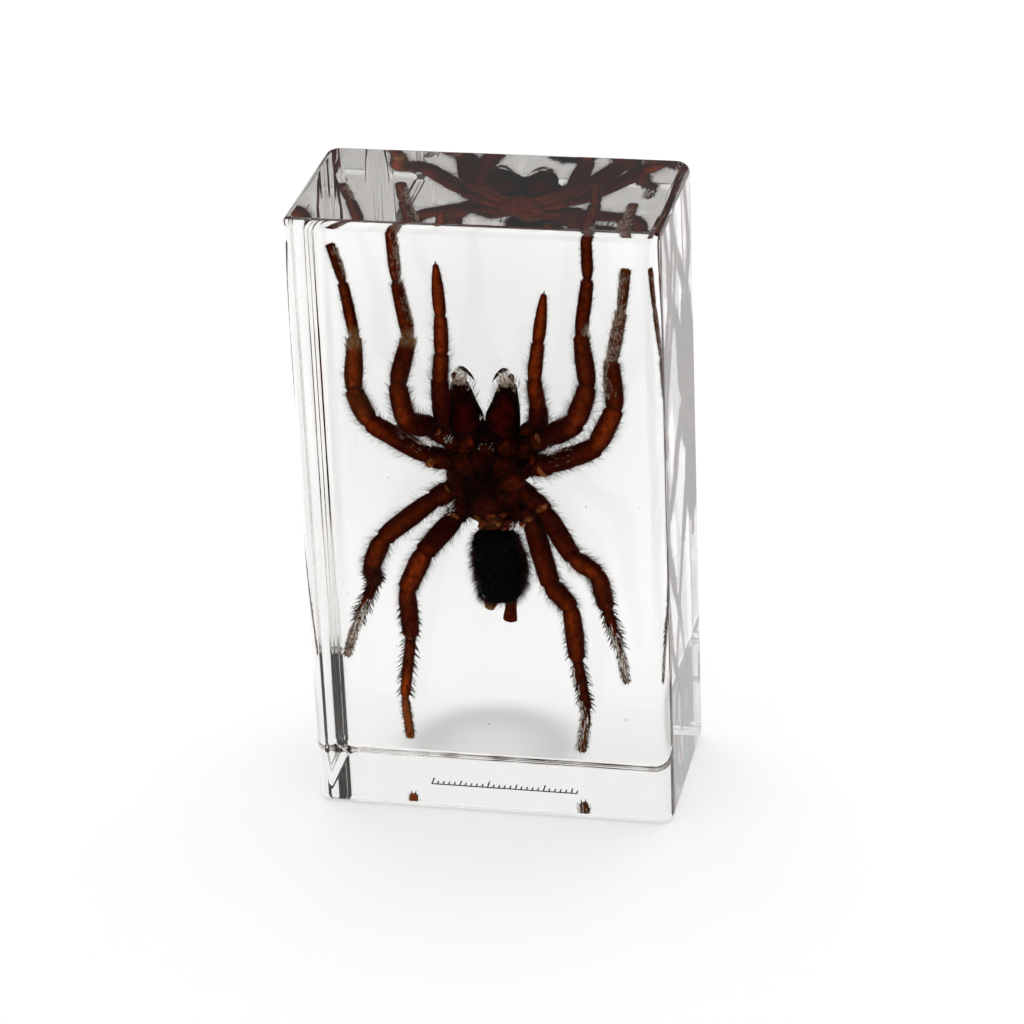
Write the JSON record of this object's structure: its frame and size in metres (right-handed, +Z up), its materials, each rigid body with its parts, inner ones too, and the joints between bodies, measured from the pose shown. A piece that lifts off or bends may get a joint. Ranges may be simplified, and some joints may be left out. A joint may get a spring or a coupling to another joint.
{
  "type": "tarantula resin paperweight",
  "caption": "Upright block of polished clear resin with a dried tarantula cast inside it, head up and back to the front.",
  "frame": {"origin": "middle of the block's foot, the flat face that it stands on", "axes": "+Z up along the block's height, towards the spider's head; -Y out of the front face, which the spider's back is turned to; +X to the right seen from the front"},
  "size_m": [0.063, 0.034, 0.11],
  "materials": {
    "clear_resin": "polished",
    "dried_spider": "satin"
  },
  "bodies": {
    "root": {"resin_front": "clear_resin", "resin_back": "clear_resin", "tarantula": "dried_spider"}
  },
  "joints": []
}
